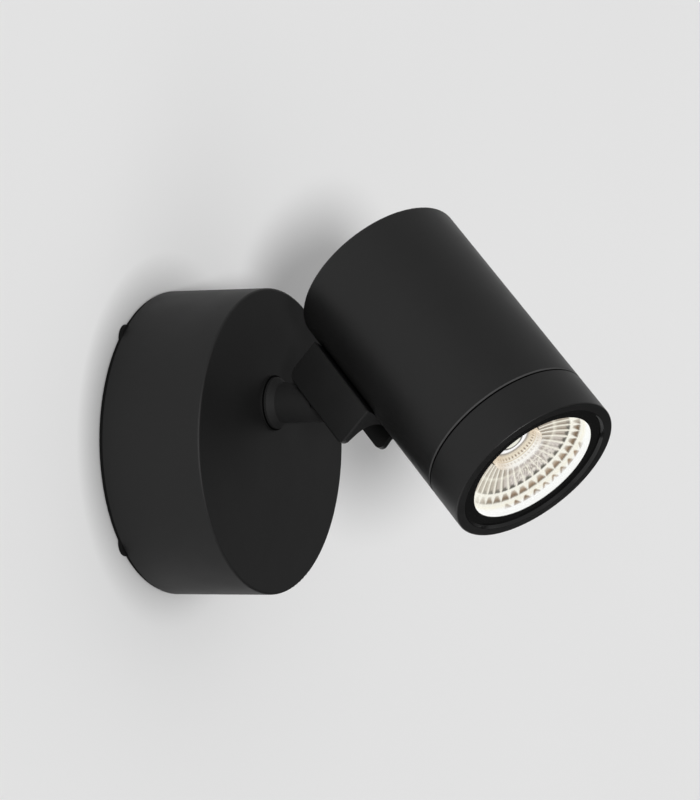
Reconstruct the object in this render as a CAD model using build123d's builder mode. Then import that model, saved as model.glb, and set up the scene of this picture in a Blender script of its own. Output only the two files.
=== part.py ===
from build123d import *

import os
from math import asin, cos, degrees, radians, sin, sqrt

# Outdoor wall spotlight: a drum on the wall carries a short swivel stem, and the
# lamp head tilts on a grooved hinge block at the end of that stem.
# The wall is the plane Y = 0, the light stands out along -Y and Z is up.

# Clearances
slip = 0.05             # screws in holes, plugs in bores, radial
running = 0.05          # turning fits, radial and axial
seat_gap = 0.1          # soft or thin pieces beside a neighbour
free_gap = 0.4          # pieces that only pass each other

# Base drum
base_diameter = 110.0
base_depth = 40.2
cover_wall = 2.5
cover_face = 3.0
cover_edge = 0.8

# Wall gasket, with four ears that show past the drum
gasket_thickness = 1.5
gasket_width = 4.0
gasket_inset = 0.6
ear_count = 4
ear_angle = 45.0
ear_radius = 5.0
ear_reach = 1.2

# Wall plate
plate_thickness = 2.0
plate_gap = 0.5
slot_spacing = 70.0
slot_length = 12.0
slot_width = 5.0
tab_width = 12.0
tab_height = 12.0
tab_inset = 0.6
pad_height = 10.0

# Set screws that hold the drum to the plate's tabs
set_screw_diameter = 4.0
set_screw_height = 8.5
set_screw_recess = 0.4
set_screw_socket = 2.0
set_screw_socket_depth = 2.2
set_screw_tip = 1.2

# Cable inlet
inlet_height = 12.5
inlet_bore = 10.0
inlet_neck = 17.8
inlet_flange = 22.0
inlet_flange_thickness = 2.0

# Driver case on the plate
driver_width = 58.0
driver_height = 26.0
driver_depth = 23.0
driver_drop = 23.0
driver_corner = 2.0

# Mounting lugs of the driver and the terminal block
lug_thickness = 2.5
lug_length = 9.0
lug_width = 9.0

# Terminal block
terminal_width = 34.0
terminal_height = 13.0
terminal_depth = 13.0
terminal_lift = 31.0
terminal_ways = 3
terminal_pitch = 10.0
terminal_wire_bore = 4.0
terminal_well = 4.4
terminal_screw_length = 5.0

# Small pan-head screws of the base
plate_screw_diameter = 3.0
plate_screw_head = 5.6
plate_screw_head_height = 2.0
plate_screw_slot = 0.8

# Earth screw
earth_x = -30.0
earth_z = 14.0
earth_diameter = 4.0
earth_flats = 7.0
earth_head_height = 3.2

# Swivel in the drum's face
stem_height = 13.8
stem_diameter = 14.8
stem_bore = 8.0
spigot_diameter = 12.0
swivel_pad_diameter = 19.9
swivel_pad_height = 0.75
collar_diameter = 18.6
collar_rim = 0.85
collar_length = 3.2
seal_diameter = 19.8
seal_thickness = 0.3
boss_diameter = 32.0
boss_length = 4.0
bush_wall = 1.5
bush_flange_diameter = 22.0
bush_flange_thickness = 1.5
stop_thickness = 1.5
stop_diameter = 21.0
stop_lug_reach = 15.3
stop_lug_width = 4.0
stop_flat = 5.2
peg_diameter = 3.6
peg_orbit = 13.5
peg_length = 4.2
spring_thickness = 0.9
spring_rise = 0.5
spring_diameter = 20.0
nut_flats = 18.0
nut_length = 5.0
spigot_past_nut = 1.0

# Aim at rest, and where the hinge is
pan_rest = 13.34
tilt_rest = 47.05
pivot_reach = 65.65
axis_offset = 40.77
pivot_from_rear = 26.79

# Hinge block, seen along the head: a trapezoid with a round-bottomed groove
block_rear_length = 15.74
block_front_length = 19.6
block_top = 6.3
block_top_width = 19.8
block_seat_width = 29.3
seat_flat = 31.0
groove_diameter = 15.66
block_rear_round = 4.0
block_front_round = 2.6
block_edge = 0.5
cheek_cut_start = 8.8
cheek_cut_level = -1.2
tail_width = 6.4
tail_level = -3.08
tail_end = 22.2
tail_slant = 1.6
tail_round = 2.2
tail_thickness = 2.7
tail_root = 6.0

# Hinge pin and friction washers
pin_diameter = 5.0
pin_head_diameter = 8.0
pin_head_height = 2.2
pin_head_seat = 10.0
pin_tip = 10.8
pin_socket = 3.0
pin_socket_depth = 1.4
stem_flats = 12.4
stem_flat_length = 7.0
washer_diameter = 12.0

# Screws from inside the head into the hinge block
bracket_screw_diameter = 3.0
bracket_screw_head = 5.5
bracket_screw_head_height = 2.0
bracket_screw_spread = 14.0
bracket_screw_rear = 9.5
bracket_screw_front = 9.5
bracket_screw_length = 6.0
bracket_screw_socket = 2.0

# Wire grommet between the groove and the head
grommet_ahead = 13.8
grommet_neck = 7.0
grommet_bore = 4.0
grommet_flange = 8.8
grommet_flange_thickness = 1.0

# Head
head_diameter = 64.4
head_length = 100.1
head_wall = 3.6
head_edge = 0.8
cap_thickness = 4.0
cap_step = 1.0
cap_edge = 0.5
bezel_length = 16.5
bezel_wall = 1.8
bezel_edge = 0.5
trim_width = 0.6
trim_inset = 0.05
seam_width = 0.7
seam_recess = 0.3
seam_edge = 0.15
lip_width = 3.3
lip_thickness = 1.3
spigot_wall = 2.2

# Glass and what lies behind it
mask_thickness = 0.2
mask_opening = 48.4
mask_wall_edge = 0.08
mask_flare = 0.55
mask_sunk = 0.03
glass_thickness = 1.5
glass_seal_thickness = 1.0
glass_seal_width = 2.6
flange_gap = 0.2
oring_section = 1.56
oring_groove_width = 2.4
oring_from_seam = 4.15

# Reflector
reflector_gap = 0.4
reflector_rim = 0.6
reflector_flange_thickness = 1.0
reflector_wall = 1.4
reflector_throat = 20.0
throat_depth = 13.8
throat_lip = 0.8
skirt_draft = 0.9
skirt_depth = 7.4
bow_diameter = 40.2
bow_depth = 10.2

# Light source
board_depth = 16.6
board_diameter = 35.0
board_thickness = 1.6
source_diameter = 19.4
source_height = 5.6
source_rim = 0.5
lens_diameter = 14.8
lens_height = 1.0
lens_rise = 0.6
board_screw_count = 3
board_screw_orbit = 15.0
board_screw_diameter = 2.5
board_screw_head = 4.8
board_screw_head_height = 1.4
board_screw_length = 4.5
screw_cross_width = 0.7
screw_cross_depth = 0.7

# Heat sink on a ledge inside the head
sink_plate = 5.0
sink_gap = 0.3
ledge_length = 3.0
ledge_bore = 34.0
sink_core = 16.0
fin_count = 12
fin_thickness = 1.8
fin_diameter = 32.8
fin_length = 26.7
sink_screw_count = 3
sink_screw_orbit = 21.0
sink_screw_diameter = 3.0
sink_screw_head = 5.5
sink_screw_head_height = 2.0
sink_screw_length = 7.0

# Worked out from the sizes above
base_radius = base_diameter / 2
cover_inner = base_radius - cover_wall
gasket_outer = base_radius - gasket_inset
gasket_inner = gasket_outer - gasket_width
plate_radius = gasket_inner - plate_gap
tab_outer = plate_radius - tab_inset
pad_inner = tab_outer + seat_gap
face_inside = base_depth - cover_face
boss_end = face_inside - boss_length
swivel_face = base_depth + swivel_pad_height

spigot_radius = spigot_diameter / 2
bush_inner = spigot_radius + running
bush_outer = bush_inner + bush_wall
bush_end = boss_end - bush_flange_thickness
stop_top = bush_end - seat_gap
stop_bottom = stop_top - stop_thickness
spring_top = stop_bottom - running
spring_bottom = spring_top - spring_thickness - spring_rise
nut_top = spring_bottom - running
nut_bottom = nut_top - nut_length
spigot_end = nut_bottom - spigot_past_nut
collar_start = swivel_face + seal_thickness
collar_end = collar_start + collar_length
stem_radius = stem_diameter / 2

head_radius = head_diameter / 2
cavity_radius = head_radius - head_wall
cap_radius = cavity_radius + cap_step
bezel_start = head_length - bezel_length
trim_front = bezel_start - seam_width
seam_start = trim_front - trim_width
bezel_bore = head_radius - bezel_wall
lip_radius = head_radius - lip_width
mask_front = head_length - lip_thickness
mask_inner = mask_opening / 2
mask_wall_outer = lip_radius - slip
mask_wall_inner = mask_wall_outer - mask_wall_edge
glass_front = mask_front - mask_thickness
glass_back = glass_front - glass_thickness
spigot_front = glass_back - glass_seal_thickness
neck_radius = bezel_bore - 2 * seat_gap
glass_radius = bezel_bore - 2 * seat_gap
seal_inner = glass_radius - glass_seal_width
flange_radius = seal_inner - flange_gap
reflector_step = spigot_front - reflector_flange_thickness
step_radius = flange_radius + seat_gap
board_front = head_length - board_depth
board_back = board_front - board_thickness
ledge_front = board_back - sink_plate
ledge_back = ledge_front - ledge_length
oring_floor = bezel_bore - oring_section - 2 * slip
bore_radius = oring_floor - spigot_wall
sink_radius = bore_radius - sink_gap

block_base = seat_flat - axis_offset
groove_radius = groove_diameter / 2
block_start = pivot_from_rear - block_rear_length
block_length = block_rear_length + block_front_length
bracket_head_inner = (bracket_screw_spread - bracket_screw_head) / 2 - seat_gap
bracket_screw_seat = sqrt(cavity_radius**2 - bracket_head_inner**2) + seat_gap
bracket_screw_top = bracket_screw_seat + bracket_screw_length
washer_start = stem_flats / 2 + running
washer_end = groove_radius - running

# Frames: the wall, the stem's axis as it is turned at rest, the hinge and the head
pan = radians(pan_rest)
tilt = radians(tilt_rest)
outward = Vector(0, -1, 0)
aim = Vector(-sin(pan) * sin(tilt), -cos(tilt), -cos(pan) * sin(tilt))
lift = Vector(-sin(pan) * cos(tilt), sin(tilt), -cos(pan) * cos(tilt))
hinge_axis = Vector(cos(pan), 0, -sin(pan))
stem_foot = Vector(0, 0, stem_height)
pivot = stem_foot + outward * pivot_reach
head_rear = pivot - lift * axis_offset - aim * pivot_from_rear

wall_plane = Plane(origin=(0, 0, 0), x_dir=(1, 0, 0), z_dir=outward)
stem_plane = Plane(origin=stem_foot, x_dir=(1, 0, 0), z_dir=outward)
turned_plane = Plane(origin=stem_foot, x_dir=hinge_axis, z_dir=outward)
stem_section = Plane(origin=stem_foot, x_dir=outward, z_dir=hinge_axis)
stem_axis = Axis(stem_foot, outward)
pin_plane = Plane(origin=pivot, x_dir=outward, z_dir=hinge_axis)
hinge_plane = Plane(origin=pivot, x_dir=lift, z_dir=aim)
hinge_side = Plane(origin=pivot, x_dir=aim, z_dir=hinge_axis)
head_plane = Plane(origin=head_rear, x_dir=lift, z_dir=aim)
head_section = Plane(origin=head_rear, x_dir=lift, z_dir=-hinge_axis)
head_side = Plane(origin=head_rear, x_dir=aim, z_dir=lift)
head_axis = Axis(head_rear, aim)

pieces = []


def keep(builder, label):
    builder.part.label = label
    pieces.append(builder.part)


# Base

with BuildPart() as wall_gasket:
    with BuildSketch(wall_plane):
        Circle(gasket_outer)
        with PolarLocations(base_radius + ear_reach - ear_radius, ear_count, start_angle=ear_angle):
            Circle(ear_radius)
        Circle(gasket_inner, mode=Mode.SUBTRACT)
    extrude(amount=gasket_thickness)
keep(wall_gasket, "wall_gasket")

driver_lug_x = (driver_width + lug_length) / 2
terminal_lug_x = (terminal_width + lug_length) / 2
plate_screw_places = [
    (-driver_lug_x, -driver_drop),
    (driver_lug_x, -driver_drop),
    (-terminal_lug_x, terminal_lift),
    (terminal_lug_x, terminal_lift),
]
set_screw_place = (0, -set_screw_height)

with BuildPart() as wall_plate:
    with BuildSketch(wall_plane):
        Circle(plate_radius)
        with GridLocations(slot_spacing, 0, 2, 1):
            SlotOverall(slot_length, slot_width, mode=Mode.SUBTRACT)
        with Locations((0, inlet_height)):
            Circle(inlet_neck / 2 + seat_gap, mode=Mode.SUBTRACT)
        with Locations(plate_screw_places):
            Circle(plate_screw_diameter / 2 + slip, mode=Mode.SUBTRACT)
        with Locations((earth_x, earth_z)):
            Circle(earth_diameter / 2 + slip, mode=Mode.SUBTRACT)
    extrude(amount=plate_thickness)
    with BuildSketch(wall_plane.offset(plate_thickness)):
        with GridLocations(0, 2 * tab_outer - plate_thickness, 1, 2):
            Rectangle(tab_width, plate_thickness)
    extrude(amount=tab_height)
    with BuildSketch(Plane.XY):
        with Locations(set_screw_place):
            Circle(set_screw_diameter / 2 + slip)
    extrude(amount=plate_radius, both=True, mode=Mode.SUBTRACT)
keep(wall_plate, "wall_plate")

with BuildPart() as base_cover:
    with BuildSketch(wall_plane.offset(gasket_thickness)):
        Circle(base_radius)
    extrude(amount=base_depth - gasket_thickness)
    fillet(base_cover.faces().sort_by(Axis.Y)[0].edges(), cover_edge)
    with BuildSketch(wall_plane.offset(gasket_thickness)):
        Circle(cover_inner)
    extrude(amount=face_inside - gasket_thickness, mode=Mode.SUBTRACT)
    with BuildSketch(stem_plane.offset(boss_end)):
        Circle(boss_diameter / 2)
    extrude(amount=boss_length)
    with BuildSketch(stem_plane.offset(boss_end - peg_length)):
        with Locations((0, peg_orbit)):
            Circle(peg_diameter / 2)
    extrude(amount=peg_length)
    with BuildSketch(wall_plane.offset(set_screw_height - pad_height / 2)):
        with GridLocations(0, pad_inner + cover_inner + cover_wall / 2, 1, 2):
            Rectangle(tab_width, cover_inner + cover_wall / 2 - pad_inner)
    extrude(amount=pad_height)
    with BuildSketch(Plane.XY):
        with Locations(set_screw_place):
            Circle(set_screw_diameter / 2 + seat_gap)
    extrude(amount=base_radius, both=True, mode=Mode.SUBTRACT)
    with BuildSketch(stem_plane.offset(base_depth)):
        Circle(swivel_pad_diameter / 2)
    extrude(amount=swivel_pad_height)
    with BuildSketch(stem_plane.offset(boss_end)):
        Circle(bush_outer + slip)
    extrude(amount=swivel_face - boss_end, mode=Mode.SUBTRACT)
keep(base_cover, "base_cover")

set_screw_top = base_radius - set_screw_recess
set_screw_bottom = tab_outer - plate_thickness - set_screw_tip

with BuildPart() as cover_screws:
    with BuildSketch(Plane.XY.offset(set_screw_bottom)):
        with Locations(set_screw_place):
            Circle(set_screw_diameter / 2)
    extrude(amount=set_screw_top - set_screw_bottom)
    with BuildSketch(Plane.XY.offset(set_screw_top)):
        with Locations(set_screw_place):
            RegularPolygon(set_screw_socket / 2, 6, major_radius=False)
    extrude(amount=-set_screw_socket_depth, mode=Mode.SUBTRACT)
    mirror(about=Plane.XY)
keep(cover_screws, "cover_screws")

with BuildPart() as cable_grommet:
    with BuildSketch(wall_plane):
        with Locations((0, inlet_height)):
            Circle(inlet_neck / 2)
    extrude(amount=plate_thickness)
    with BuildSketch(wall_plane.offset(plate_thickness)):
        with Locations((0, inlet_height)):
            Circle(inlet_flange / 2)
    extrude(amount=inlet_flange_thickness)
    with BuildSketch(wall_plane):
        with Locations((0, inlet_height)):
            Circle(inlet_bore / 2)
    extrude(amount=plate_thickness + inlet_flange_thickness, mode=Mode.SUBTRACT)
keep(cable_grommet, "cable_grommet")

with BuildPart() as led_driver:
    with BuildSketch(wall_plane.offset(plate_thickness)):
        with Locations((0, -driver_drop)):
            RectangleRounded(driver_width, driver_height, driver_corner)
    extrude(amount=driver_depth)
    with BuildSketch(wall_plane.offset(plate_thickness)):
        with Locations((0, -driver_drop)):
            Rectangle(driver_width + 2 * lug_length, lug_width)
        with Locations(plate_screw_places[:2]):
            Circle(plate_screw_diameter / 2 + seat_gap, mode=Mode.SUBTRACT)
    extrude(amount=lug_thickness)
keep(led_driver, "led_driver")

terminal_top = plate_thickness + terminal_depth
terminal_mid = plate_thickness + terminal_depth / 2
with BuildPart() as terminal_block:
    with BuildSketch(wall_plane.offset(plate_thickness)):
        with Locations((0, terminal_lift)):
            Rectangle(terminal_width, terminal_height)
    extrude(amount=terminal_depth)
    with BuildSketch(wall_plane.offset(plate_thickness)):
        with Locations((0, terminal_lift)):
            Rectangle(terminal_width + 2 * lug_length, lug_width)
        with Locations(plate_screw_places[2:]):
            Circle(plate_screw_diameter / 2 + seat_gap, mode=Mode.SUBTRACT)
    extrude(amount=lug_thickness)
    with BuildSketch(Plane.XY.offset(terminal_lift)):
        with Locations((0, -terminal_mid)):
            with GridLocations(terminal_pitch, 0, terminal_ways, 1):
                Circle(terminal_wire_bore / 2)
    extrude(amount=terminal_height / 2, both=True, mode=Mode.SUBTRACT)
    with BuildSketch(wall_plane.offset(terminal_top)):
        with Locations((0, terminal_lift)):
            with GridLocations(terminal_pitch, 0, terminal_ways, 1):
                Circle(terminal_well / 2)
    extrude(amount=terminal_mid - terminal_top, mode=Mode.SUBTRACT)
keep(terminal_block, "terminal_block")

with BuildPart() as terminal_screws:
    with BuildSketch(wall_plane.offset(terminal_top - seat_gap)):
        with Locations((0, terminal_lift)):
            with GridLocations(terminal_pitch, 0, terminal_ways, 1):
                Circle(terminal_well / 2 - slip)
    extrude(amount=-terminal_screw_length)
    with BuildSketch(wall_plane.offset(terminal_top - seat_gap)):
        with Locations((0, terminal_lift)):
            with GridLocations(terminal_pitch, 0, terminal_ways, 1):
                Rectangle(terminal_well, plate_screw_slot)
    extrude(amount=-plate_screw_slot, mode=Mode.SUBTRACT)
keep(terminal_screws, "terminal_screws")

plate_screw_seat = plate_thickness + lug_thickness
with BuildPart() as plate_screws:
    with BuildSketch(wall_plane.offset(seat_gap)):
        with Locations(plate_screw_places):
            Circle(plate_screw_diameter / 2)
    extrude(amount=plate_screw_seat - seat_gap)
    with BuildSketch(wall_plane.offset(plate_screw_seat)):
        with Locations(plate_screw_places):
            Circle(plate_screw_head / 2)
    extrude(amount=plate_screw_head_height)
    with BuildSketch(wall_plane.offset(plate_screw_seat + plate_screw_head_height)):
        with Locations(plate_screw_places):
            Rectangle(plate_screw_head, plate_screw_slot)
    extrude(amount=-plate_screw_slot, mode=Mode.SUBTRACT)
keep(plate_screws, "plate_screws")

with BuildPart() as earth_screw:
    with BuildSketch(wall_plane.offset(seat_gap)):
        with Locations((earth_x, earth_z)):
            Circle(earth_diameter / 2)
    extrude(amount=plate_thickness - seat_gap)
    with BuildSketch(wall_plane.offset(plate_thickness)):
        with Locations((earth_x, earth_z)):
            RegularPolygon(earth_flats / 2, 6, major_radius=False)
    extrude(amount=earth_head_height)
keep(earth_screw, "earth_screw")

# Swivel

with BuildPart() as swivel_bush:
    with BuildSketch(stem_plane.offset(bush_end)):
        Circle(bush_flange_diameter / 2)
    extrude(amount=bush_flange_thickness)
    with BuildSketch(stem_plane.offset(boss_end)):
        Circle(bush_outer)
    extrude(amount=swivel_face - boss_end)
    with BuildSketch(stem_plane.offset(bush_end)):
        Circle(bush_inner)
    extrude(amount=swivel_face - bush_end, mode=Mode.SUBTRACT)
keep(swivel_bush, "swivel_bush")

bore = stem_bore / 2
tip_angle = degrees(asin(bore / stem_radius))
with BuildPart() as stem:
    with BuildSketch(stem_section):
        with BuildLine():
            Polyline(
                (pivot_reach + sqrt(stem_radius**2 - bore**2), bore),
                (spigot_end, bore),
                (spigot_end, spigot_radius),
                (collar_start, spigot_radius),
                (collar_start, collar_diameter / 2),
                (collar_start + collar_rim, collar_diameter / 2),
                (collar_end, stem_radius),
                (pivot_reach, stem_radius),
            )
            CenterArc((pivot_reach, 0), stem_radius, 90, tip_angle - 90)
        make_face()
    revolve(axis=stem_axis)
    with BuildSketch(turned_plane.offset(spigot_end)):
        with Locations((0, stop_flat)):
            Rectangle(spigot_diameter, spigot_diameter, align=(Align.CENTER, Align.MIN))
    extrude(amount=stop_top - spigot_end, mode=Mode.SUBTRACT)
    for side in (1, -1):
        with BuildSketch(pin_plane.offset(side * stem_flats / 2)):
            with Locations((-stem_flat_length, 0)):
                Rectangle(
                    stem_flat_length + stem_diameter,
                    2 * stem_diameter,
                    align=(Align.MIN, Align.CENTER),
                )
        extrude(amount=side * stem_diameter, mode=Mode.SUBTRACT)
    with BuildSketch(pin_plane):
        Circle(pin_diameter / 2 + running)
    extrude(amount=stem_diameter, both=True, mode=Mode.SUBTRACT)
keep(stem, "stem")

with BuildPart() as swivel_seal:
    with BuildSketch(stem_plane.offset(swivel_face + seat_gap)):
        Circle(seal_diameter / 2)
        Circle(spigot_radius + slip, mode=Mode.SUBTRACT)
    extrude(amount=seal_thickness - seat_gap)
keep(swivel_seal, "swivel_seal")

with BuildPart() as stop_washer:
    with BuildSketch(turned_plane.offset(stop_bottom)):
        Circle(stop_diameter / 2)
        Rectangle(stop_lug_width, stop_lug_reach, align=(Align.CENTER, Align.MAX))
        with BuildSketch(mode=Mode.PRIVATE) as spigot_hole:
            Circle(spigot_radius + slip)
            with Locations((0, stop_flat + slip)):
                Rectangle(
                    spigot_diameter,
                    spigot_diameter,
                    align=(Align.CENTER, Align.MIN),
                    mode=Mode.SUBTRACT,
                )
        add(spigot_hole.sketch, mode=Mode.SUBTRACT)
    extrude(amount=stop_thickness)
keep(stop_washer, "stop_washer")

with BuildPart() as spring_washer:
    with BuildSketch(stem_section):
        with BuildLine():
            Polyline(
                (spring_bottom, spigot_radius + slip),
                (spring_bottom + spring_thickness, spigot_radius + slip),
                (spring_top, spring_diameter / 2),
                (spring_top - spring_thickness, spring_diameter / 2),
                close=True,
            )
        make_face()
    revolve(axis=stem_axis)
keep(spring_washer, "spring_washer")

with BuildPart() as lock_nut:
    with BuildSketch(turned_plane.offset(nut_bottom)):
        RegularPolygon(nut_flats / 2, 6, major_radius=False)
        Circle(spigot_radius + slip, mode=Mode.SUBTRACT)
    extrude(amount=nut_length)
keep(lock_nut, "lock_nut")

# Hinge

with BuildPart() as hinge_block:
    with BuildSketch(hinge_plane.offset(-block_rear_length)):
        with BuildLine():
            Polyline(
                (block_base, -block_seat_width / 2),
                (block_base, block_seat_width / 2),
                (block_top, block_top_width / 2),
                (block_top, -block_top_width / 2),
                close=True,
            )
        make_face()
    extrude(amount=block_length)
    long_edges = hinge_block.edges().filter_by(Axis((0, 0, 0), aim))
    end_edges = hinge_block.edges().group_by(Axis((0, 0, 0), aim))[-1]
    side_edges = end_edges.filter_by(Axis((0, 0, 0), hinge_axis), reverse=True)
    chamfer(long_edges + side_edges, block_edge)
    with BuildSketch(hinge_side) as side_view:
        with Locations((-block_rear_length, block_base)):
            Rectangle(block_length, block_top - block_base, align=(Align.MIN, Align.MIN))
        fillet(side_view.vertices().group_by(Axis.Y)[-1].sort_by(Axis.X)[0], block_rear_round)
        fillet(side_view.vertices().group_by(Axis.Y)[-1].sort_by(Axis.X)[-1], block_front_round)
    extrude(amount=block_seat_width, both=True, mode=Mode.INTERSECT)
    with BuildSketch(hinge_plane.offset(-block_rear_length)):
        Circle(groove_radius)
        Rectangle(2 * block_top, groove_diameter, align=(Align.MIN, Align.CENTER))
    extrude(amount=block_length, mode=Mode.SUBTRACT)
    with BuildSketch(hinge_side):
        with Locations((cheek_cut_start, cheek_cut_level)):
            Rectangle(
                block_front_length,
                block_top - block_base,
                align=(Align.MIN, Align.MIN),
            )
    extrude(amount=block_seat_width, mode=Mode.SUBTRACT)
    with BuildSketch(hinge_side):
        with Locations((cheek_cut_start, -groove_radius)):
            Rectangle(block_front_length, block_top - block_base, align=(Align.MIN, Align.MIN))
    extrude(amount=groove_radius, mode=Mode.SUBTRACT)
    with BuildSketch(hinge_side.offset(groove_radius)):
        with BuildLine():
            Polyline(
                (cheek_cut_start - tail_root, tail_level + tail_width / 2),
                (tail_end, tail_level + tail_width / 2),
                (tail_end - tail_slant, tail_level - tail_width / 2),
                (cheek_cut_start - tail_root, tail_level - tail_width / 2),
                close=True,
            )
        tail_view = make_face()
        fillet(tail_view.vertices().sort_by(Axis.X)[-1], tail_round)
    extrude(amount=tail_thickness)
    with BuildSketch(hinge_side):
        Circle(washer_diameter / 2 + free_gap)
    extrude(amount=groove_radius, both=True, mode=Mode.SUBTRACT)
    with BuildSketch(hinge_side.offset(-pin_tip - seat_gap)):
        Circle(pin_diameter / 2 + slip)
    extrude(amount=pin_tip + block_seat_width, mode=Mode.SUBTRACT)
    with BuildSketch(hinge_side.offset(pin_head_seat)):
        Circle(pin_head_diameter / 2 + 2 * seat_gap)
    extrude(amount=block_seat_width, mode=Mode.SUBTRACT)
    with BuildSketch(head_side.offset(seat_flat)):
        for along in (-bracket_screw_rear, bracket_screw_front):
            with Locations((pivot_from_rear + along, 0)):
                with GridLocations(0, bracket_screw_spread, 1, 2):
                    Circle(bracket_screw_diameter / 2 + slip)
    extrude(amount=bracket_screw_top - seat_flat + seat_gap, mode=Mode.SUBTRACT)
    with BuildSketch(head_side.offset(seat_flat)):
        with Locations((pivot_from_rear + grommet_ahead, 0)):
            Circle(grommet_neck / 2 + seat_gap)
    extrude(amount=groove_radius, mode=Mode.SUBTRACT)
    with BuildSketch(head_side.offset(axis_offset - groove_radius)):
        with Locations((pivot_from_rear + grommet_ahead, 0)):
            Circle(grommet_flange / 2 + seat_gap)
    extrude(amount=groove_radius, mode=Mode.SUBTRACT)
keep(hinge_block, "hinge_block")

with BuildPart() as pivot_screw:
    with BuildSketch(hinge_side.offset(-pin_tip)):
        Circle(pin_diameter / 2)
    extrude(amount=pin_tip + pin_head_seat)
    with BuildSketch(hinge_side.offset(pin_head_seat)):
        Circle(pin_head_diameter / 2)
    extrude(amount=pin_head_height)
    with BuildSketch(hinge_side.offset(pin_head_seat + pin_head_height)):
        RegularPolygon(pin_socket / 2, 6, major_radius=False)
    extrude(amount=-pin_socket_depth, mode=Mode.SUBTRACT)
keep(pivot_screw, "pivot_screw")

with BuildPart() as friction_washers:
    for side in (1, -1):
        with BuildSketch(hinge_side.offset(side * washer_start)):
            Circle(washer_diameter / 2)
            Circle(pin_diameter / 2 + slip, mode=Mode.SUBTRACT)
        extrude(amount=side * (washer_end - washer_start))
keep(friction_washers, "friction_washers")

with BuildPart() as bracket_screws:
    for along in (-bracket_screw_rear, bracket_screw_front):
        with BuildSketch(head_side.offset(bracket_screw_seat)):
            with Locations((pivot_from_rear + along, 0)):
                with GridLocations(0, bracket_screw_spread, 1, 2):
                    Circle(bracket_screw_diameter / 2)
        extrude(amount=bracket_screw_top - bracket_screw_seat)
        with BuildSketch(head_side.offset(bracket_screw_seat)):
            with Locations((pivot_from_rear + along, 0)):
                with GridLocations(0, bracket_screw_spread, 1, 2):
                    Circle(bracket_screw_head / 2)
        extrude(amount=-bracket_screw_head_height)
        with BuildSketch(head_side.offset(bracket_screw_seat - bracket_screw_head_height)):
            with Locations((pivot_from_rear + along, 0)):
                with GridLocations(0, bracket_screw_spread, 1, 2):
                    RegularPolygon(bracket_screw_socket / 2, 6, major_radius=False)
        extrude(amount=bracket_screw_head_height / 2, mode=Mode.SUBTRACT)
keep(bracket_screws, "bracket_screws")

groove_floor = axis_offset - groove_radius
with BuildPart() as wire_grommet:
    with BuildSketch(head_side.offset(cavity_radius)):
        with Locations((pivot_from_rear + grommet_ahead, 0)):
            Circle(grommet_neck / 2)
    extrude(amount=groove_floor - cavity_radius)
    with BuildSketch(head_side.offset(groove_floor)):
        with Locations((pivot_from_rear + grommet_ahead, 0)):
            Circle(grommet_flange / 2)
    extrude(amount=grommet_flange_thickness)
    with BuildSketch(head_side.offset(cavity_radius)):
        with Locations((pivot_from_rear + grommet_ahead, 0)):
            Circle(grommet_bore / 2)
    extrude(amount=head_wall + groove_radius, mode=Mode.SUBTRACT)
keep(wire_grommet, "wire_grommet")

# Head

with BuildPart() as head_body:
    with BuildSketch(head_plane):
        Circle(head_radius)
    extrude(amount=seam_start)
    fillet(head_body.edges().group_by(Axis((0, 0, 0), aim))[0], head_edge)
    with BuildSketch(head_plane.offset(ledge_back)):
        Circle(neck_radius)
    extrude(amount=spigot_front - ledge_back)
    with BuildSketch(head_plane):
        Circle(cap_radius + slip)
    extrude(amount=cap_thickness, mode=Mode.SUBTRACT)
    with BuildSketch(head_plane):
        Circle(cavity_radius)
    extrude(amount=ledge_back, mode=Mode.SUBTRACT)
    with BuildSketch(head_plane.offset(ledge_back)):
        Circle(ledge_bore / 2)
    extrude(amount=ledge_length, mode=Mode.SUBTRACT)
    with BuildSketch(head_plane.offset(ledge_front)):
        Circle(bore_radius)
    extrude(amount=spigot_front - ledge_front, mode=Mode.SUBTRACT)
    with BuildSketch(head_plane.offset(reflector_step)):
        Circle(step_radius)
    extrude(amount=spigot_front - reflector_step, mode=Mode.SUBTRACT)
    with BuildSketch(head_plane.offset(seam_start + oring_from_seam - oring_groove_width / 2)):
        Circle(head_radius)
        Circle(oring_floor, mode=Mode.SUBTRACT)
    extrude(amount=oring_groove_width, mode=Mode.SUBTRACT)
    with BuildSketch(head_plane.offset(ledge_back)):
        with PolarLocations(sink_screw_orbit, sink_screw_count):
            Circle(sink_screw_diameter / 2 + slip)
    extrude(amount=ledge_length, mode=Mode.SUBTRACT)
    with BuildSketch(head_plane.offset(block_start - seat_gap)):
        with Locations((seat_flat, 0)):
            Rectangle(head_wall, head_diameter, align=(Align.MIN, Align.CENTER))
    extrude(amount=block_length + 2 * seat_gap, mode=Mode.SUBTRACT)
    with BuildSketch(head_side.offset(bracket_screw_seat)):
        for along in (-bracket_screw_rear, bracket_screw_front):
            with Locations((pivot_from_rear + along, 0)):
                with GridLocations(0, bracket_screw_spread, 1, 2):
                    Circle(bracket_screw_diameter / 2 + slip)
    extrude(amount=head_wall, mode=Mode.SUBTRACT)
    with BuildSketch(head_side.offset(bracket_screw_seat)):
        for along in (-bracket_screw_rear, bracket_screw_front):
            with Locations((pivot_from_rear + along, 0)):
                with GridLocations(0, bracket_screw_spread, 1, 2):
                    Circle(bracket_screw_head / 2 + seat_gap)
    extrude(amount=-head_wall, mode=Mode.SUBTRACT)
    with BuildSketch(head_side.offset(seat_flat)):
        with Locations((pivot_from_rear + grommet_ahead, 0)):
            Circle(grommet_neck / 2 + seat_gap)
    extrude(amount=-head_wall, mode=Mode.SUBTRACT)
keep(head_body, "head_body")

with BuildPart() as trim_ring:
    with BuildSketch(head_plane.offset(seam_start)):
        Circle(head_radius - trim_inset)
        Circle(neck_radius + slip, mode=Mode.SUBTRACT)
    extrude(amount=trim_width)
keep(trim_ring, "trim_ring")

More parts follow.
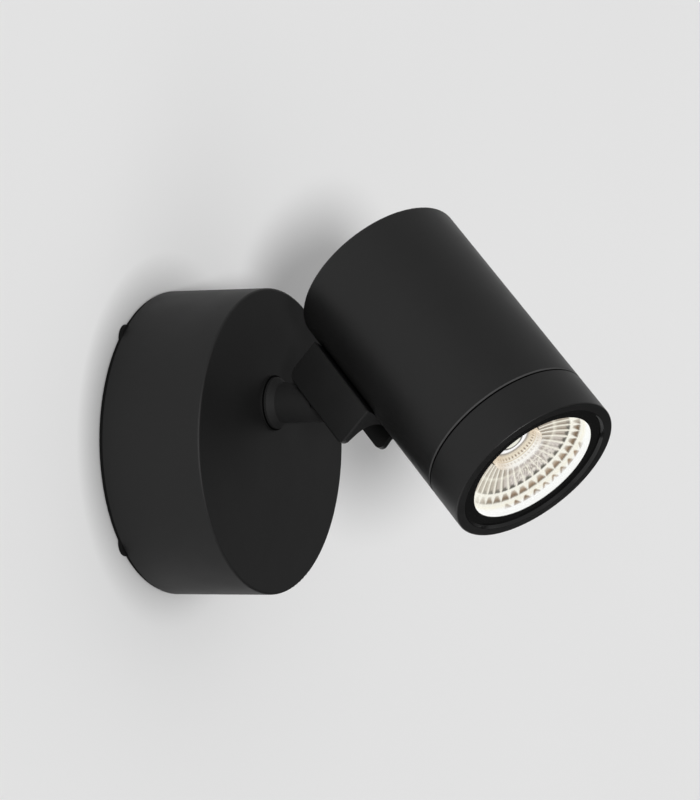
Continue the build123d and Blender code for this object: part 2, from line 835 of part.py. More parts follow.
with BuildPart() as seam_gasket:
    with BuildSketch(head_plane.offset(trim_front)):
        Circle(head_radius - seam_recess)
        Circle(neck_radius + slip, mode=Mode.SUBTRACT)
    extrude(amount=seam_width)
keep(seam_gasket, "seam_gasket")

with BuildPart() as rear_cap:
    with BuildSketch(head_plane):
        Circle(cap_radius)
    extrude(amount=cap_thickness)
    chamfer(rear_cap.edges().group_by(Axis((0, 0, 0), aim))[0], cap_edge)
keep(rear_cap, "rear_cap")

with BuildPart() as front_bezel:
    with BuildSketch(head_plane.offset(bezel_start)):
        Circle(head_radius)
    extrude(amount=bezel_length)
    fillet(front_bezel.edges().group_by(Axis((0, 0, 0), aim))[0], seam_edge)
    fillet(front_bezel.edges().group_by(Axis((0, 0, 0), aim))[-1], bezel_edge)
    with BuildSketch(head_plane.offset(bezel_start)):
        Circle(bezel_bore)
    extrude(amount=mask_front - bezel_start, mode=Mode.SUBTRACT)
    with BuildSketch(head_plane.offset(mask_front)):
        Circle(lip_radius)
    extrude(amount=lip_thickness, mode=Mode.SUBTRACT)
keep(front_bezel, "front_bezel")

with BuildPart() as bezel_oring:
    with BuildSketch(head_section):
        with Locations((bezel_bore - slip - oring_section / 2, seam_start + oring_from_seam)):
            Circle(oring_section / 2)
    revolve(axis=head_axis)
keep(bezel_oring, "bezel_oring")

with BuildPart() as front_glass:
    with BuildSketch(head_plane.offset(glass_back)):
        Circle(glass_radius)
    extrude(amount=glass_thickness)
keep(front_glass, "front_glass")

with BuildPart() as glass_seal:
    with BuildSketch(head_plane.offset(spigot_front)):
        Circle(glass_radius)
        Circle(seal_inner, mode=Mode.SUBTRACT)
    extrude(amount=glass_seal_thickness)
keep(glass_seal, "glass_seal")

with BuildPart() as aperture_mask:
    with BuildSketch(head_section):
        with BuildLine():
            Polyline(
                (mask_inner, glass_front),
                (glass_radius, glass_front),
                (glass_radius, mask_front),
                (mask_wall_outer, mask_front),
                (mask_wall_outer, head_length - mask_sunk),
                (mask_wall_inner, head_length - mask_sunk),
                (mask_wall_inner - mask_flare, mask_front),
                (mask_inner, mask_front),
                close=True,
            )
        make_face()
    revolve(axis=head_axis)
keep(aperture_mask, "aperture_mask")

mouth_radius = bore_radius - reflector_gap - reflector_rim
skirt_radius = mouth_radius - skirt_draft
throat_radius = reflector_throat / 2
throat_level = head_length - throat_depth
bow_level = head_length - bow_depth
skirt_level = head_length - skirt_depth
mouth_level = glass_back - seat_gap
with BuildPart() as reflector:
    with BuildSketch(head_section):
        with BuildLine():
            Line((mouth_radius, mouth_level), (skirt_radius, skirt_level))
            ThreePointArc(
                (skirt_radius, skirt_level),
                (bow_diameter / 2, bow_level),
                (throat_radius, throat_level),
            )
            Polyline(
                (throat_radius, throat_level),
                (throat_radius, throat_level - throat_lip),
                (throat_radius + reflector_wall, throat_level - throat_lip),
            )
            ThreePointArc(
                (throat_radius + reflector_wall, throat_level - throat_lip),
                (bow_diameter / 2, bow_level - reflector_wall),
                (skirt_radius + reflector_wall, skirt_level),
            )
            Polyline(
                (skirt_radius + reflector_wall, skirt_level),
                (mouth_radius + reflector_rim, reflector_step),
                (flange_radius, reflector_step),
                (flange_radius, spigot_front),
                (mouth_radius + reflector_rim, spigot_front),
                (mouth_radius + reflector_rim, mouth_level),
                (mouth_radius, mouth_level),
            )
        make_face()
    revolve(axis=head_axis)
keep(reflector, "reflector")

with BuildPart() as led_emitter:
    with BuildSketch(head_section):
        with BuildLine():
            Polyline(
                (0, board_front),
                (source_diameter / 2, board_front),
                (source_diameter / 2, board_front + source_height),
                (source_diameter / 2 - source_rim, board_front + source_height),
                (lens_diameter / 2, board_front + lens_height),
                (0, board_front + lens_height + lens_rise),
                close=True,
            )
        make_face()
    revolve(axis=head_axis)
keep(led_emitter, "led_emitter")

with BuildPart() as led_board:
    with BuildSketch(head_plane.offset(board_back)):
        Circle(board_diameter / 2)
        with PolarLocations(board_screw_orbit, board_screw_count):
            Circle(board_screw_diameter / 2 + slip, mode=Mode.SUBTRACT)
    extrude(amount=board_thickness)
keep(led_board, "led_board")

with BuildPart() as board_screws:
    with BuildSketch(head_plane.offset(board_front)):
        with PolarLocations(board_screw_orbit, board_screw_count):
            Circle(board_screw_diameter / 2)
    extrude(amount=-board_screw_length)
    with BuildSketch(head_plane.offset(board_front)):
        with PolarLocations(board_screw_orbit, board_screw_count):
            Circle(board_screw_head / 2)
    extrude(amount=board_screw_head_height)
    with BuildSketch(head_plane.offset(board_front + board_screw_head_height)):
        with PolarLocations(board_screw_orbit, board_screw_count):
            Rectangle(board_screw_head, screw_cross_width)
            Rectangle(screw_cross_width, board_screw_head)
    extrude(amount=-screw_cross_depth, mode=Mode.SUBTRACT)
keep(board_screws, "board_screws")

with BuildPart() as heat_sink:
    with BuildSketch(head_plane.offset(ledge_front)):
        Circle(sink_radius)
        with PolarLocations(board_screw_orbit, board_screw_count):
            Circle(board_screw_diameter / 2 + slip, mode=Mode.SUBTRACT)
        with PolarLocations(sink_screw_orbit, sink_screw_count):
            Circle(sink_screw_diameter / 2 + slip, mode=Mode.SUBTRACT)
    extrude(amount=sink_plate)
    with BuildSketch(head_plane.offset(ledge_front)):
        Circle(sink_core / 2)
        with PolarLocations(0, fin_count):
            Rectangle(fin_diameter / 2, fin_thickness, align=(Align.MIN, Align.CENTER))
    extrude(amount=-fin_length)
keep(heat_sink, "heat_sink")

with BuildPart() as sink_screws:
    with BuildSketch(head_plane.offset(board_back)):
        with PolarLocations(sink_screw_orbit, sink_screw_count):
            Circle(sink_screw_diameter / 2)
    extrude(amount=-sink_screw_length)
    with BuildSketch(head_plane.offset(board_back)):
        with PolarLocations(sink_screw_orbit, sink_screw_count):
            Circle(sink_screw_head / 2)
    extrude(amount=sink_screw_head_height)
    with BuildSketch(head_plane.offset(board_back + sink_screw_head_height)):
        with PolarLocations(sink_screw_orbit, sink_screw_count):
            Rectangle(sink_screw_head, screw_cross_width)
            Rectangle(screw_cross_width, sink_screw_head)
    extrude(amount=-screw_cross_depth, mode=Mode.SUBTRACT)
keep(sink_screws, "sink_screws")

os.makedirs("parts", exist_ok=True)
for piece in pieces:
    export_step(piece, f"parts/{piece.label}.step")
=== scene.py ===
import math
import random

import bmesh
import bpy
from mathutils import Matrix, Vector


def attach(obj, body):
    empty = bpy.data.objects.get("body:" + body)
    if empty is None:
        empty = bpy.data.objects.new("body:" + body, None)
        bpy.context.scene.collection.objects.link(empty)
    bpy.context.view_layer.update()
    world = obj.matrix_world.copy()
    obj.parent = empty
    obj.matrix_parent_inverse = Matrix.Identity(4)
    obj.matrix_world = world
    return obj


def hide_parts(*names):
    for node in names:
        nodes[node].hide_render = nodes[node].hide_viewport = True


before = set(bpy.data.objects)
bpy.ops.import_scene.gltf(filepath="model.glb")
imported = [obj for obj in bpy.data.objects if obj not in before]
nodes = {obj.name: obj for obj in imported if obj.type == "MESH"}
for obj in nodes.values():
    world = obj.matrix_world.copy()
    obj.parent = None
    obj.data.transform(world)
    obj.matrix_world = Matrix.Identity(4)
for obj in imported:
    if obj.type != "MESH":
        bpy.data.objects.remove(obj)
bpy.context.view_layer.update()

scene = bpy.context.scene
mm = 0.001

# the head's own axes at rest, the same as in the solids
aimed = {
    "pan": 13.34,
    "tilt": 47.05,
    "pivot": (0.0, -65.65, 13.8),
    "axisOffset": 40.77,
    "pivotFromRear": 26.79,
    "headLength": 100.1,
}


def headMatrix(a):
    pan, tilt = math.radians(a["pan"]), math.radians(a["tilt"])
    aim = Vector((-math.sin(pan) * math.sin(tilt), -math.cos(tilt), -math.cos(pan) * math.sin(tilt)))
    lift = Vector((-math.sin(pan) * math.cos(tilt), math.sin(tilt), -math.cos(pan) * math.cos(tilt)))
    side = Vector((math.cos(pan), 0.0, -math.sin(pan)))
    rear = Vector(a["pivot"]) - lift * a["axisOffset"] - aim * a["pivotFromRear"]
    turn = Matrix((lift, side, aim)).transposed().to_4x4()
    return Matrix.Scale(mm, 4) @ Matrix.Translation(rear) @ turn


toHead = headMatrix(aimed)  # millimetres in the head, z along its axis from the rear


def linear(grey):
    v = grey / 255.0
    return v / 12.92 if v <= 0.04045 else ((v + 0.055) / 1.055) ** 2.4


def paint(red, green, blue):
    return (linear(red), linear(green), linear(blue), 1.0)


# material helpers
grain = {"detail": 2.0, "toneDetail": 3.0, "low": 0.3, "high": 0.7}


def newMaterial(name):
    mat = bpy.data.materials.new(name)
    mat.use_nodes = True
    return mat, mat.node_tree.nodes, mat.node_tree.links


def grainOf(tree, links, scale, detail=grain["detail"]):
    place = tree.new("ShaderNodeTexCoord")
    noise = tree.new("ShaderNodeTexNoise")
    noise.inputs["Scale"].default_value = scale
    noise.inputs["Detail"].default_value = detail
    links.new(place.outputs["Object"], noise.inputs["Vector"])
    return noise.outputs["Fac"]


def spread(tree, links, source, low, high):
    span = tree.new("ShaderNodeMapRange")
    span.inputs["From Min"].default_value = grain["low"]
    span.inputs["From Max"].default_value = grain["high"]
    span.inputs["To Min"].default_value = low
    span.inputs["To Max"].default_value = high
    links.new(source, span.inputs["Value"])
    return span.outputs["Result"]


def twoTone(tree, links, source, dark, light):
    band = tree.new("ShaderNodeValToRGB")
    band.color_ramp.elements[0].position = grain["low"]
    band.color_ramp.elements[0].color = dark
    band.color_ramp.elements[1].position = grain["high"]
    band.color_ramp.elements[1].color = light
    links.new(source, band.inputs["Fac"])
    return band.outputs["Color"]


def relief(tree, links, source, strength, depth):
    bump = tree.new("ShaderNodeBump")
    bump.inputs["Strength"].default_value = strength
    bump.inputs["Distance"].default_value = depth
    links.new(source, bump.inputs["Height"])
    return bump.outputs["Normal"]


def grainedFinish(name, f):
    mat, tree, links = newMaterial(name)
    shader = tree["Principled BSDF"]
    shader.inputs["Metallic"].default_value = f.get("metallic", 0.0)
    shader.inputs["Specular IOR Level"].default_value = f.get("specular", 0.5)
    tone = grainOf(tree, links, f["toneScale"], grain["toneDetail"])
    links.new(twoTone(tree, links, tone, f["dark"], f["light"]), shader.inputs["Base Color"])
    links.new(spread(tree, links, tone, f["smooth"], f["rough"]), shader.inputs["Roughness"])
    fine = grainOf(tree, links, f["grainScale"])
    links.new(relief(tree, links, fine, f["strength"], f["depth"]), shader.inputs["Normal"])
    # painted shade: the shine is lowered by occlusion where another piece is close
    if "paintedHollowShade" in f:  # less shine where another piece is close
        h = f["paintedHollowShade"]
        near = tree.new("ShaderNodeAmbientOcclusion")
        near.samples = h["samples"]
        near.inputs["Distance"].default_value = h["reach"]
        dull = tree.new("ShaderNodeMapRange")
        dull.inputs["From Min"].default_value = h["low"]
        dull.inputs["From Max"].default_value = h["high"]
        dull.inputs["To Max"].default_value = f["specular"]
        links.new(near.outputs["AO"], dull.inputs["Value"])
        links.new(dull.outputs["Result"], shader.inputs["Specular IOR Level"])
    return mat


coat = {"dark": paint(18, 18, 18), "light": paint(20, 20, 20), "toneScale": 45.0, "grainScale": 2600.0,
        "strength": 0.22, "depth": 0.00004,
        "paintedHollowShade": {"reach": 0.006, "low": 0.1, "high": 0.6, "samples": 8}}
finishes = {
    "powderCoat": {**coat, "smooth": 0.54, "rough": 0.62, "specular": 0.31},
    "headCoat": {**coat, "smooth": 0.4, "rough": 0.48, "specular": 0.31},
    "stemCoat": {**coat, "smooth": 0.74, "rough": 0.82, "specular": 0.3},
    "greyRing": {"dark": paint(58, 58, 58), "light": paint(62, 62, 62), "toneScale": 80.0, "smooth": 0.5,
                 "rough": 0.6, "grainScale": 1400.0, "strength": 0.15, "depth": 0.00003, "specular": 0.31},
    # rubber, made near black as painted shadow in the gaps at the swivel seal and the seam
    "rubberWithGapShade": {"dark": paint(3, 3, 3), "light": paint(5, 5, 5), "toneScale": 90.0, "smooth": 0.8,
                   "rough": 0.9, "grainScale": 1500.0, "strength": 0.2, "depth": 0.00004, "specular": 0.03},
    "softRubber": {"dark": paint(11, 11, 11), "light": paint(15, 15, 15), "toneScale": 90.0, "smooth": 0.7,
                   "rough": 0.85, "grainScale": 1500.0, "strength": 0.3, "depth": 0.00005, "specular": 0.1},
    "zincSteel": {"dark": paint(168, 170, 172), "light": paint(196, 198, 200), "toneScale": 120.0,
                  "smooth": 0.28, "rough": 0.42, "grainScale": 900.0, "strength": 0.15, "depth": 0.00003,
                  "metallic": 1.0},
    "turnedBrass": {"dark": paint(180, 145, 80), "light": paint(210, 178, 108), "toneScale": 150.0,
                    "smooth": 0.25, "rough": 0.4, "grainScale": 900.0, "strength": 0.12, "depth": 0.00003,
                    "metallic": 1.0},
    "whiteCase": {"dark": paint(222, 222, 218), "light": paint(234, 234, 230), "toneScale": 60.0,
                  "smooth": 0.45, "rough": 0.6, "grainScale": 1400.0, "strength": 0.2, "depth": 0.00004},
    "slipPlastic": {"dark": paint(48, 48, 48), "light": paint(60, 60, 60), "toneScale": 80.0, "smooth": 0.4,
                    "rough": 0.55, "grainScale": 1400.0, "strength": 0.2, "depth": 0.00003},
    "bareAluminium": {"dark": paint(186, 188, 190), "light": paint(208, 210, 212), "toneScale": 100.0,
                      "smooth": 0.3, "rough": 0.45, "grainScale": 800.0, "strength": 0.15, "depth": 0.00003,
                      "metallic": 1.0},
    "boardMask": {"dark": paint(232, 232, 228), "light": paint(242, 242, 238), "toneScale": 100.0,
                  "smooth": 0.3, "rough": 0.42, "grainScale": 1200.0, "strength": 0.1, "depth": 0.00002},
    "glossBlack": {"dark": paint(8, 8, 8), "light": paint(12, 12, 12), "toneScale": 60.0, "smooth": 0.1,
                   "rough": 0.18, "grainScale": 700.0, "strength": 0.02, "depth": 0.00001, "specular": 0.42},
}
made = {name: grainedFinish(name, f) for name, f in finishes.items()}


def clearGlass(g):
    mat, tree, links = newMaterial("clearGlass")
    shader = tree["Principled BSDF"]
    shader.inputs["Base Color"].default_value = g["tint"]
    shader.inputs["Transmission Weight"].default_value = 1.0
    shader.inputs["IOR"].default_value = g["ior"]
    film = grainOf(tree, links, g["filmScale"])
    links.new(spread(tree, links, film, 0.0, g["film"]), shader.inputs["Roughness"])
    return mat


glassPane = {"tint": (0.98, 0.99, 0.99, 1.0), "ior": 1.48, "filmScale": 30.0, "film": 0.015}
made["clearGlass"] = clearGlass(glassPane)

wears = {
    "powderCoat": ["base_cover"],
    "stemCoat": ["stem"],
    "rubberWithGapShade": ["swivel_seal", "seam_gasket"],
    "headCoat": ["hinge_block", "head_body", "rear_cap", "front_bezel"],
    "greyRing": ["trim_ring"],
    "softRubber": ["wall_gasket", "cable_grommet", "wire_grommet", "bezel_oring", "glass_seal"],
    "zincSteel": ["wall_plate", "plate_screws", "stop_washer", "spring_washer", "lock_nut", "bracket_screws",
                  "board_screws", "sink_screws", "cover_screws", "pivot_screw"],
    "turnedBrass": ["terminal_screws", "earth_screw"],
    "whiteCase": ["led_driver", "terminal_block"],
    "slipPlastic": ["swivel_bush", "friction_washers"],
    "bareAluminium": ["heat_sink"],
    "boardMask": ["led_board"],
    "glossBlack": ["aperture_mask"],
    "clearGlass": ["front_glass"],
}
for finish, members in wears.items():
    for member in members:
        slots = nodes[member].data.materials
        slots.clear()
        slots.append(made[finish])
print("finishes on", sum(len(m) for m in wears.values()), "nodes")


# lit optic: a colour of painted reflection and highlight is kept on each point, and it glows, though the
# reflector is no lamp
lit = {"glow": 1.16, "specular": 0.3, "wearScale": 260.0, "wear": 0.15, "grainScale": 1800.0,
       "strength": 0.1, "depth": 0.00002}


def paintedGlowFinish(name, rough, body):
    mat, tree, links = newMaterial(name)
    shader = tree["Principled BSDF"]
    shader.inputs["Base Color"].default_value = body
    shader.inputs["Emission Strength"].default_value = lit["glow"]
    shader.inputs["Specular IOR Level"].default_value = lit["specular"]
    # painted glow: the emitted colour is the painted reflection kept on each point
    tone = tree.new("ShaderNodeAttribute")
    tone.attribute_name = "tone"
    links.new(tone.outputs["Color"], shader.inputs["Emission Color"])
    wear = grainOf(tree, links, lit["wearScale"])
    links.new(spread(tree, links, wear, rough, rough + lit["wear"]), shader.inputs["Roughness"])
    fine = grainOf(tree, links, lit["grainScale"])
    links.new(relief(tree, links, fine, lit["strength"], lit["depth"]), shader.inputs["Normal"])
    return mat


def finishPiece(mesh, paintedGlow, name, mat, body):
    mesh.normal_update()
    data = bpy.data.meshes.new(name)
    mesh.to_mesh(data)
    mesh.free()
    data.transform(toHead)
    data.materials.append(mat)
    # the tone attribute carries the painted reflection and highlight colour that the finish emits
    tone = data.attributes.new("tone", "FLOAT_COLOR", "POINT")
    for i, colour in enumerate(paintedGlow):
        tone.data[i].color = colour
    for face in data.polygons:
        face.use_smooth = False
    piece = bpy.data.objects.new(name, data)
    scene.collection.objects.link(piece)
    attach(piece, body)
    return piece


def mixTone(a, b, f):
    f = min(max(f, 0.0), 1.0)
    return tuple(p + (q - p) * f for p, q in zip(a, b))


def ramp(value, low, high):
    return min(max((value - low) / (high - low), 0.0), 1.0)


patchEdge = 0.06  # how softly a patch begins and ends


def wedge(x, y, top, foot, wide, narrow, soft=0.07):
    # how far a point lies inside a patch that narrows from its top to its foot
    half = wide + (narrow - wide) * ramp(y, top, foot)
    across = ramp(half - abs(x - 0.5), -soft, soft)
    begun = ramp(y, top - patchEdge, top + patchEdge)
    return across * begun * (1.0 - ramp(y, foot - patchEdge, foot + patchEdge))


def turned(profile, columns, paintedGlow, closed=False):
    # profile of (radius, depth from the front) turned round the head's axis, one painted glow colour per point
    mesh = bmesh.new()
    colours = []
    rings = []
    for k, (radius, depth) in enumerate(profile):
        ring = []
        for c in range(1 if radius == 0 else columns):
            angle = 2 * math.pi * c / columns
            r, d, colour = paintedGlow(k, angle, radius, depth)
            ring.append(mesh.verts.new((r * math.cos(angle), r * math.sin(angle), aimed["headLength"] - d)))
            colours.append(colour)
        rings.append(ring)
    pairs = list(zip(rings, rings[1:])) + ([(rings[-1], rings[0])] if closed else [])
    for outer, inner in pairs:
        for c in range(columns):
            n = (c + 1) % columns
            if len(outer) == 1:
                mesh.faces.new((outer[0], inner[n], inner[c]))
            elif len(inner) == 1:
                mesh.faces.new((outer[c], outer[n], inner[0]))
            else:
                mesh.faces.new((outer[c], outer[n], inner[n], inner[c]))
    return mesh, colours


# faceted bowl, its rows from the mouth to the throat; its colours are painted reflections of the lit LED, with
# painted shade towards the sides, and they glow
bowl = {
    "columns": 38,
    "across": 10,
    "along": 8,
    "rows": ((25.4, 3.2), (24.95, 5.4), (24.5, 7.5), (20.4, 10.0), (15.6, 12.2), (10.3, 13.7)),
    "back": ((11.3, 14.5), (15.9, 13.4), (20.6, 11.4), (25.6, 8.0), (26.0, 5.1), (26.0, 3.2)),
    "sink": 0.22,
    "steep": 3.0,
    "firstColumn": 90.0,
    "far": 85.0,
    "paintedSideLight": 0.2,
    "paintedSideLightTurn": (40.0, 68.0),
    "seed": 7,
    "rough": 0.3,
    "body": paint(40, 38, 35),
    # painted reflection colours, from lit white through painted shade to dark
    "white": paint(255, 255, 253),
    "cream": paint(250, 246, 231),
    "sand": paint(166, 140, 114),
    "brown": paint(126, 102, 76),
    "haze": paint(212, 203, 197),
    "shade": paint(180, 169, 154),
    "dim": paint(112, 97, 80),
    "dark": paint(82, 80, 70),
    "rear": paint(60, 58, 55),
}


# painted reflection and painted shade inside a facet: a patch is (top, foot, half width at the top and at the
# foot, softness), turns are in degrees from the bowl's far side, other pairs run along the facet
facets = {
    "middle": (12.0, 46.0),
    "rib": 0.11,
    "sideRib": 2.2,
    "outer": {
        "cream": (0.1, 0.7), "tooth": (0.08, 0.84, 0.4, 0.04), "endTurn": (38.0, 50.0), "fade": (0.1, 0.5),
        "faint": 0.7, "gape": (-0.1, 0.5, 0.3, 0.02), "gapeTurn": (8.0, 24.0), "gapeDepth": 0.85,
    },
    "inner": {
        "fleck": 0.5, "tooth": (0.22, 0.7, 0.45, 0.2), "endTurn": (62.0, 86.0), "brownTurn": (24.0, 50.0),
        "luck": 0.3, "slope": 0.4, "fade": (0.4, 0.7), "faint": 0.5, "line": (0.18, 0.34, 0.46, 0.42),
        "lineDepth": 0.85,
    },
    "wide": {
        "shade": (0.0, 1.0, 0.42, 0.42, 0.1), "shadeTurn": (34.0, 58.0), "streak": (0.1, 0.9, 0.1, 0.06, 0.09),
        "streakDepth": 0.75, "streakShift": 0.2, "bright": 0.6, "brightDepth": 0.7, "dull": 0.3, "dullDepth": 0.6,
        "dullFrom": (0.2, 0.4), "end": (0.82, 1.0), "endDepth": 0.7, "bar": (-0.1, 0.17, 0.46, 0.2),
        "barTurn": (60.0, 84.0),
    },
    "throat": {
        "shade": (0.0, 1.0, 0.3, 0.3, 0.1), "streak": (0.0, 1.0, 0.1, 0.1, 0.09), "streakDepth": 0.75,
        "streakShift": 0.2, "dull": 0.35, "dullDepth": 0.5, "rib": 0.9, "start": (0.0, 0.12), "startDepth": 0.5,
        "white": (0.25, 0.5),
    },
}


def outerPaintedReflection(b, f, x, y, off, luck):
    colour = mixTone(b["white"], b["cream"], ramp(y, *f["cream"]))
    tooth = (1.0 - ramp(off, *f["endTurn"])) * (f["faint"] + (1.0 - f["faint"]) * ramp(y, *f["fade"]))
    gape = f["gapeDepth"] * (1.0 - ramp(off, *f["gapeTurn"])) * wedge(x, y, *f["gape"])
    return mixTone(colour, mixTone(b["sand"], b["brown"], luck), tooth * (wedge(x, y, *f["tooth"]) - gape))


def innerPaintedReflection(b, f, x, y, off, luck, fleck):
    colour = mixTone(b["cream"], b["white"], f["fleck"] * fleck)
    seen = 1.0 - ramp(off, *f["endTurn"])
    body = mixTone(b["sand"], b["brown"], ramp(off, *f["brownTurn"]) + f["luck"] * luck + f["slope"] * (0.5 - y))
    depth = seen * (1.0 - f["faint"] * ramp(y, *f["fade"]))
    colour = mixTone(colour, body, depth * wedge(x, y, *f["tooth"]))
    return mixTone(colour, b["dim"], f["lineDepth"] * seen * wedge(x, y, *f["line"]))


def widePaintedReflection(b, f, x, y, off, mid, rib, fleck):
    colour = mixTone(b["haze"], b["shade"], ramp(off, *f["shadeTurn"]) * wedge(x, 0.5, *f["shade"]))
    streak = f["streakDepth"] * (1.0 - mid) * wedge(x + f["streakShift"], y, *f["streak"])
    colour = mixTone(colour, b["dim"], streak)
    colour = mixTone(colour, b["cream"], f["brightDepth"] * mid * (fleck > f["bright"]))
    colour = mixTone(colour, b["dim"], f["dullDepth"] * mid * (fleck < f["dull"]) * ramp(y, *f["dullFrom"]))
    colour = mixTone(colour, b["cream"], rib + f["endDepth"] * (1.0 - mid) * ramp(y, *f["end"]))
    return mixTone(colour, b["dark"], (1.0 - ramp(off, *f["barTurn"])) * wedge(x, y, *f["bar"]))


def throatPaintedReflection(b, f, x, y, mid, rib, fleck):
    colour = mixTone(b["haze"], b["shade"], (1.0 - mid) * wedge(x, 0.5, *f["shade"]))
    streak = f["streakDepth"] * (1.0 - mid) * wedge(x + f["streakShift"], 0.5, *f["streak"])
    colour = mixTone(colour, b["dim"], streak)
    colour = mixTone(colour, b["dim"], f["dullDepth"] * mid * (fleck < f["dull"]))
    colour = mixTone(colour, b["cream"], f["rib"] * rib + f["startDepth"] * (1.0 - ramp(y, *f["start"])))
    return mixTone(colour, b["white"], mid * ramp(y, *f["white"]))


def bowlPaintedReflection(b, row, x, y, off, luck, fleck):
    # off is the turn in degrees from the bowl's far side, x and y the place inside a facet
    # mid fades towards the sides, where the pattern turns to painted shade; rib is a painted highlight along each
    # facet's edge
    mid = 1.0 - ramp(off, *facets["middle"])
    ribWidth = facets["rib"] * (facets["sideRib"] + (1.0 - facets["sideRib"]) * mid)
    rib = 1.0 - ramp(min(x, 1.0 - x), 0.0, ribWidth)
    if row == 0:
        return b["white"]
    if row == 1:
        return outerPaintedReflection(b, facets["outer"], x, y, off, luck)
    if row == 2:
        return innerPaintedReflection(b, facets["inner"], x, y, off, luck, fleck)
    if row == 3:
        return widePaintedReflection(b, facets["wide"], x, y, off, mid, rib, fleck)
    return throatPaintedReflection(b, facets["throat"], x, y, mid, rib, fleck)


def swingOf(angle):
    # turn in degrees from the bowl's far side, either way
    return (math.degrees(angle) - bowl["far"] + 180.0) % 360.0 - 180.0


def buildBowl(b):
    draw = random.Random(b["seed"])
    chance = [[draw.random() for _ in range(b["columns"])] for _ in b["rows"]]
    profile, places = [], []
    for row, (a, z) in enumerate(zip(b["rows"], b["rows"][1:])):
        for k in range(b["along"] + (row == len(b["rows"]) - 2)):
            f = k / b["along"]
            profile.append((a[0] + (z[0] - a[0]) * f, a[1] + (z[1] - a[1]) * f))
            places.append((row, f))
    for spot in b["back"]:
        profile.append(spot)
        places.append((None, 0.0))

    def paintedGlow(k, angle, radius, depth):
        row, y = places[k]
        if row is None:
            return radius, depth, b["rear"]
        turn = (math.degrees(angle) - b["firstColumn"]) * b["columns"] / 360.0 + 0.5
        column = math.floor(turn)
        x = turn - column
        swing = swingOf(angle)
        low = b["sink"] * min(1.0, b["steep"] * min(x, 1.0 - x)) * (4.0 * y * (1.0 - y)) if row else 0.0
        colour = bowlPaintedReflection(b, row, x, y, abs(swing), chance[row][column % b["columns"]], draw.random())
        if row > 1:
            # painted light: facets on one side of the bowl are lifted towards cream
            colour = mixTone(colour, b["cream"], b["paintedSideLight"] * ramp(-swing, *b["paintedSideLightTurn"]))
        return radius, depth + low, colour

    return turned(profile, b["columns"] * b["across"], paintedGlow, closed=True)


bowlMesh, bowlPaintedGlow = buildBowl(bowl)
print("bowl points", len(bowlMesh.verts))
glowingPaintedFacets = paintedGlowFinish("glowingPaintedFacets", bowl["rough"], bowl["body"])
facetBowl = finishPiece(bowlMesh, bowlPaintedGlow, "facet_bowl", glowingPaintedFacets, "head")
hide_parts("reflector")

# light source in the bowl's throat: pale middle, white lens and a sandy dotted cup; the LED glows as the lamp it
# is, its dark bands are painted highlight edges, and the cup glows with painted reflection though it is no lamp
source = {
    "columns": 228,
    "dashes": 38,
    "rings": (
        (0.0, 15.0, paint(226, 226, 214)), (3.3, 15.1, paint(232, 231, 218)), (3.6, 15.15, paint(108, 108, 106)),
        (4.3, 15.2, paint(84, 84, 83)), (4.6, 15.25, paint(238, 237, 238)), (4.9, 15.3, paint(250, 249, 251)),
        (6.1, 15.45, paint(246, 245, 246)), (6.5, 15.5, paint(176, 172, 168)), (7.0, 15.6, paint(150, 142, 134)),
        (7.5, 15.1, paint(224, 212, 192)), (7.75, 14.6, paint(232, 220, 198)), (8.0, 14.15, paint(236, 224, 204)),
        (8.2, 13.8, paint(240, 230, 212)), (8.4, 13.4, paint(245, 239, 226)), (8.5, 13.2, paint(214, 196, 166)),
        (8.7, 12.9, paint(250, 247, 240)), (9.0, 12.3, paint(246, 241, 231)), (9.3, 11.6, paint(252, 250, 246)),
        (9.6, 11.0, paint(247, 243, 235)), (9.7, 11.0, paint(236, 228, 212)), (9.7, 16.5, paint(150, 140, 124)),
        (0.0, 16.5, paint(150, 140, 124)),
    ),
    "dash": paint(110, 80, 54),
    "dashed": {11: 1.0, 12: 1.0, 16: 0.4, 19: 0.5},
    "sand": paint(206, 184, 156),
    "sandy": 0.6,
    "sandTurn": (30.0, 70.0),
    "cupFrom": 7.3,
    "rough": 0.2,
    "body": paint(60, 57, 52),
}


def buildSource(s):
    profile = [(r, d) for r, d, _ in s["rings"]]

    def paintedGlow(k, angle, radius, depth):
        colour = s["rings"][k][2]
        if k in s["dashed"]:
            wave = math.cos(s["dashes"] * angle)
            colour = mixTone(colour, s["dash"], s["dashed"][k] * max(wave, 0.0))
        # painted reflection: the cup turns sandier towards the sides
        if radius > s["cupFrom"]:
            colour = mixTone(colour, s["sand"], s["sandy"] * ramp(abs(swingOf(angle)), *s["sandTurn"]))
        return radius, depth, colour

    return turned(profile, s["columns"], paintedGlow)


sourceMesh, sourcePaintedGlow = buildSource(source)
print("source points", len(sourceMesh.verts))
glowingPaintedLens = paintedGlowFinish("glowingPaintedLens", source["rough"], source["body"])
litSource = finishPiece(sourceMesh, sourcePaintedGlow, "lit_source", glowingPaintedLens, "head")
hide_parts("led_emitter")

# wall behind the light, clear when seen from behind and open behind the drum; its colour is darkened next to the
# drum as painted contact shade, leaned to fall on one side
wall = {"half": 3.0, "hole": 0.052, "corners": 96, "gap": 0.0002, "reach": 0.015, "lean": (1.0, -1.0, -0.3),
        "paintedShadeDeepest": 0.4, "tone": paint(239, 239, 239), "shown": paint(241, 241, 241), "toneScale": 3.0, "rough": 0.9,
        "specular": 0.1}


